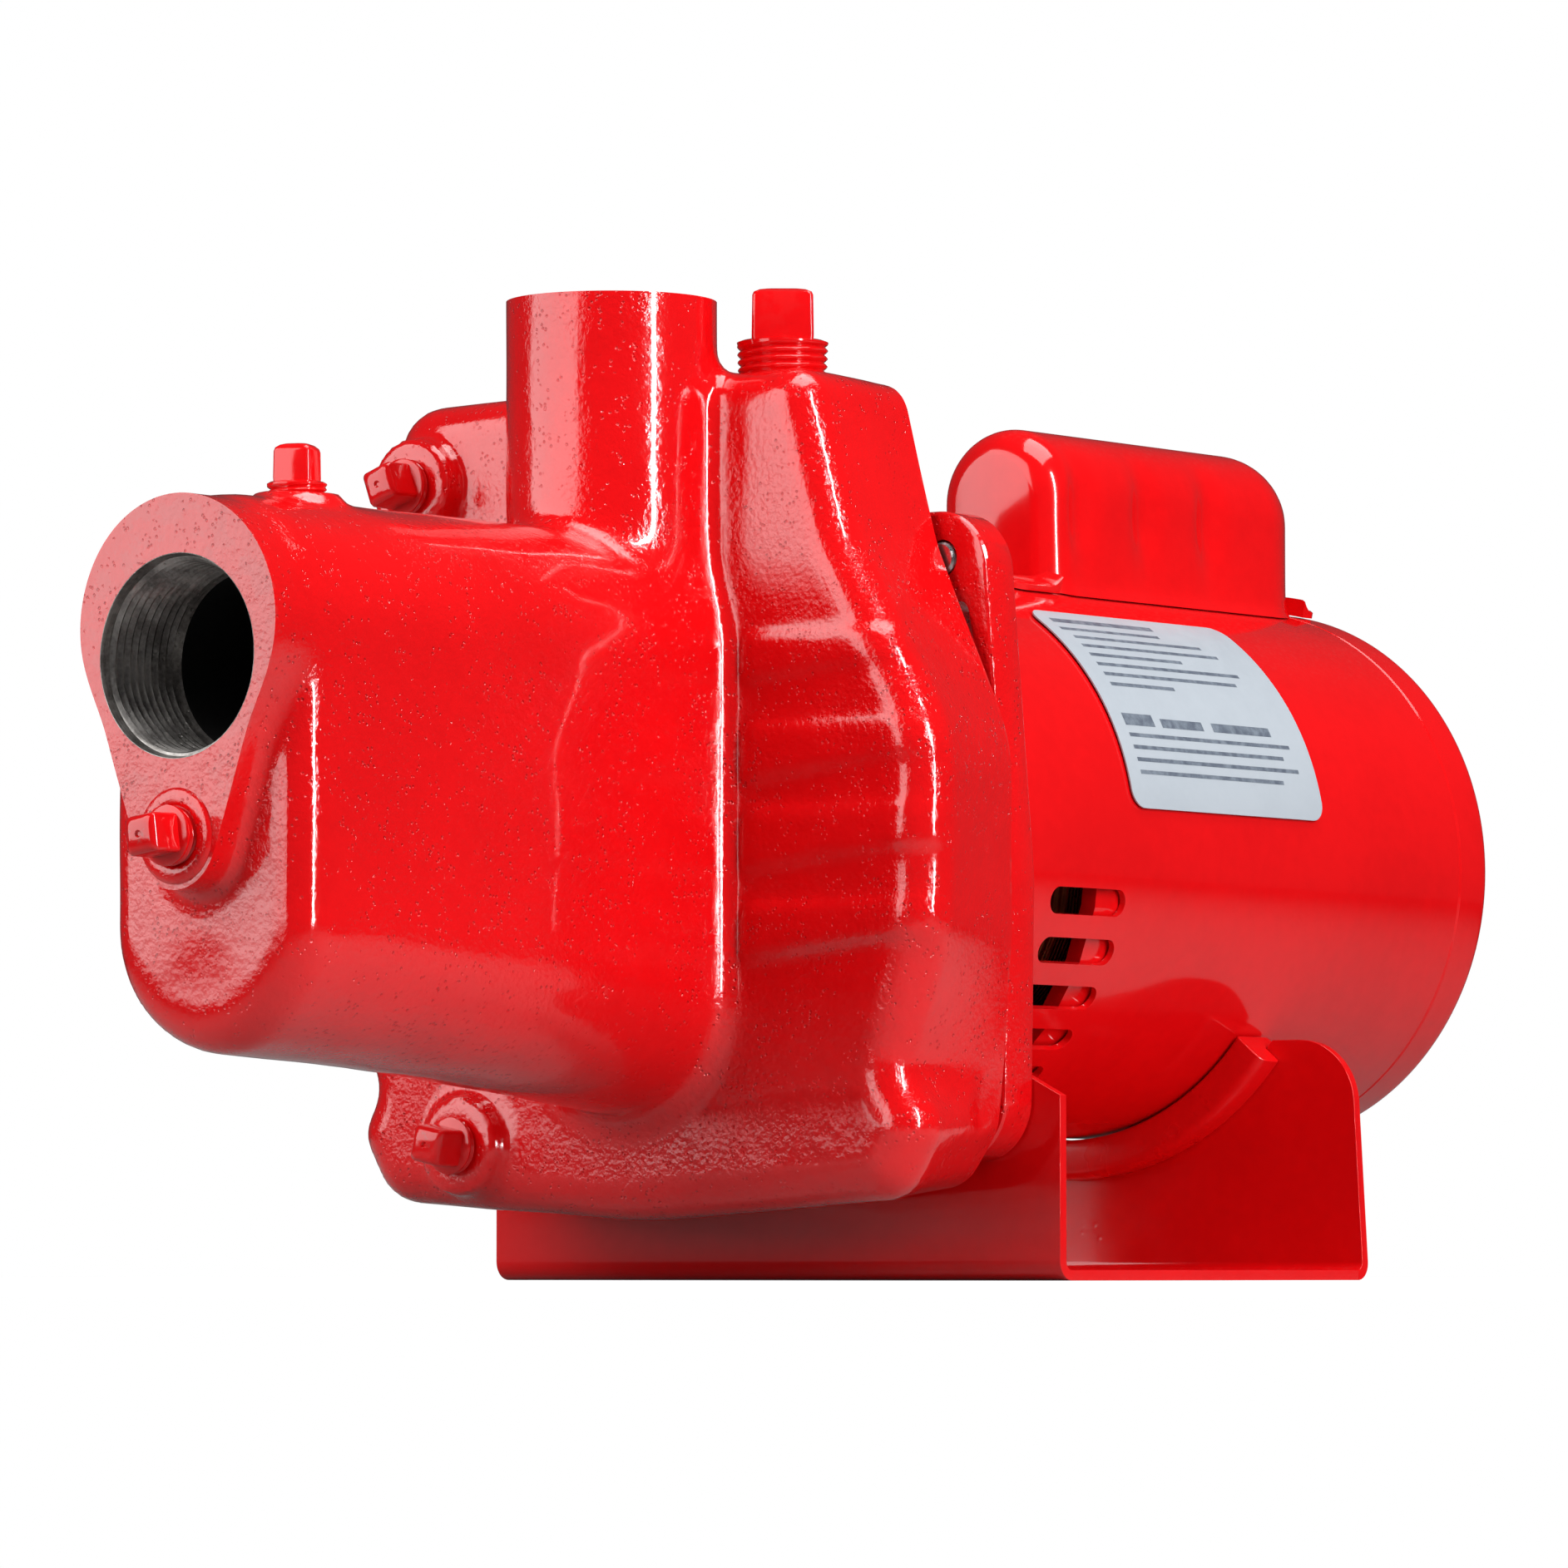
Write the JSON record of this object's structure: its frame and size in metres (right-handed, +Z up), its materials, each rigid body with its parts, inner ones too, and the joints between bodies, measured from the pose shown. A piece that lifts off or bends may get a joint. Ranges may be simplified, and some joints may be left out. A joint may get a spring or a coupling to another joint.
{
  "type": "shallow-well jet pump",
  "caption": "Close-coupled shallow-well jet pump with a cast suction arm, a top discharge riser, a vented motor shell and a folded sheet-metal base.",
  "frame": {"origin": "centre of the base plate's underside, on the floor under the motor", "axes": "+X along the shaft from the suction face towards the motor's rear, +Z up, +Y to the left when looking along +X"},
  "size_m": [0.4273, 0.1726, 0.226],
  "materials": {
    "cast_enamel": "glossy enamel over a pitted casting",
    "shell_enamel": "smooth glossy enamel over sheet steel",
    "plug_enamel": "glossy enamel over a steel pipe plug",
    "zinc_steel": "zinc plated",
    "bearing_steel": "ground",
    "shaft_steel": "ground",
    "core_steel": "laminated, varnished",
    "bell_aluminium": "as cast",
    "winding_copper": "varnished copper wire",
    "nozzle_brass": "machined",
    "black_plastic": "moulded",
    "board_plastic": "laminated board",
    "amber_plastic": "moulded",
    "ceramic_white": "lapped ceramic",
    "black_rubber": "moulded",
    "trim_red": "edge trim painted with the base",
    "label_film": "printed film, blank"
  },
  "bodies": {
    "frame": {"adapter_plate": "cast_enamel", "arm_top_plug": "plug_enamel", "base_bracket": "shell_enamel", "capacitor": "black_plastic", "capacitor_clip": "zinc_steel", "capacitor_cover": "shell_enamel", "casing_bolt_1": "zinc_steel", "casing_bolt_2": "zinc_steel", "casing_bolt_3": "zinc_steel", "casing_bolt_4": "zinc_steel", "casing_gasket": "black_rubber", "casing_gauge_plug": "plug_enamel", "cover_screw": "plug_enamel", "diffuser": "black_plastic", "drain_plug": "plug_enamel", "front_bearing_outer_ring": "bearing_steel", "front_end_bell": "bell_aluminium", "front_gauge_plug": "plug_enamel", "inlet_bushing": "black_plastic", "label": "label_film", "motor_shell": "shell_enamel", "nozzle": "nozzle_brass", "nozzle_o_ring": "black_rubber", "priming_plug": "plug_enamel", "pump_casing": "cast_enamel", "rear_bearing_outer_ring": "bearing_steel", "rear_cover": "shell_enamel", "rear_cover_screw_1": "zinc_steel", "rear_cover_screw_2": "zinc_steel", "rear_end_bell": "bell_aluminium", "saddle_strip": "trim_red", "seal_cup": "black_rubber", "seal_seat": "ceramic_white", "start_switch": "black_plastic", "stator_core": "core_steel", "terminal_board": "board_plastic", "through_bolt_1": "zinc_steel", "through_bolt_2": "zinc_steel", "through_bolt_3": "zinc_steel", "through_bolt_4": "zinc_steel", "venturi": "black_plastic", "winding_front": "winding_copper", "winding_rear": "winding_copper"},
    "rotor": {"shaft": "shaft_steel", "impeller": "black_plastic", "rotor_core": "core_steel", "seal_head": "black_plastic", "seal_spring": "zinc_steel", "slinger": "black_rubber", "cooling_fan": "black_plastic", "front_bearing_inner_ring": "bearing_steel", "rear_bearing_inner_ring": "bearing_steel"},
    "governor": {"governor": "amber_plastic"},
    "switch_lever": {"start_switch_lever": "amber_plastic"}
  },
  "joints": [
    {"name": "rotor_spin", "type": "hinge", "parent": "frame", "child": "rotor", "pos_m": [0, 0, 0.1008], "axis": [1, 0, 0], "continuous": true},
    {"name": "governor_slide", "type": "slide", "parent": "rotor", "child": "governor", "axis": [-1, 0, 0], "range_m": [0, 0.003], "stiffness_N_per_m": 300},
    {"name": "switch_lever_tilt", "type": "hinge", "parent": "frame", "child": "switch_lever", "pos_m": [0.1108, 0, 0.1448], "axis": [0, 1, 0], "range_deg": [0, 5.5]}
  ],
  "couplings": [
    {"joint": "switch_lever_tilt", "follows": "governor_slide", "rad_per_m": 30}
  ]
}
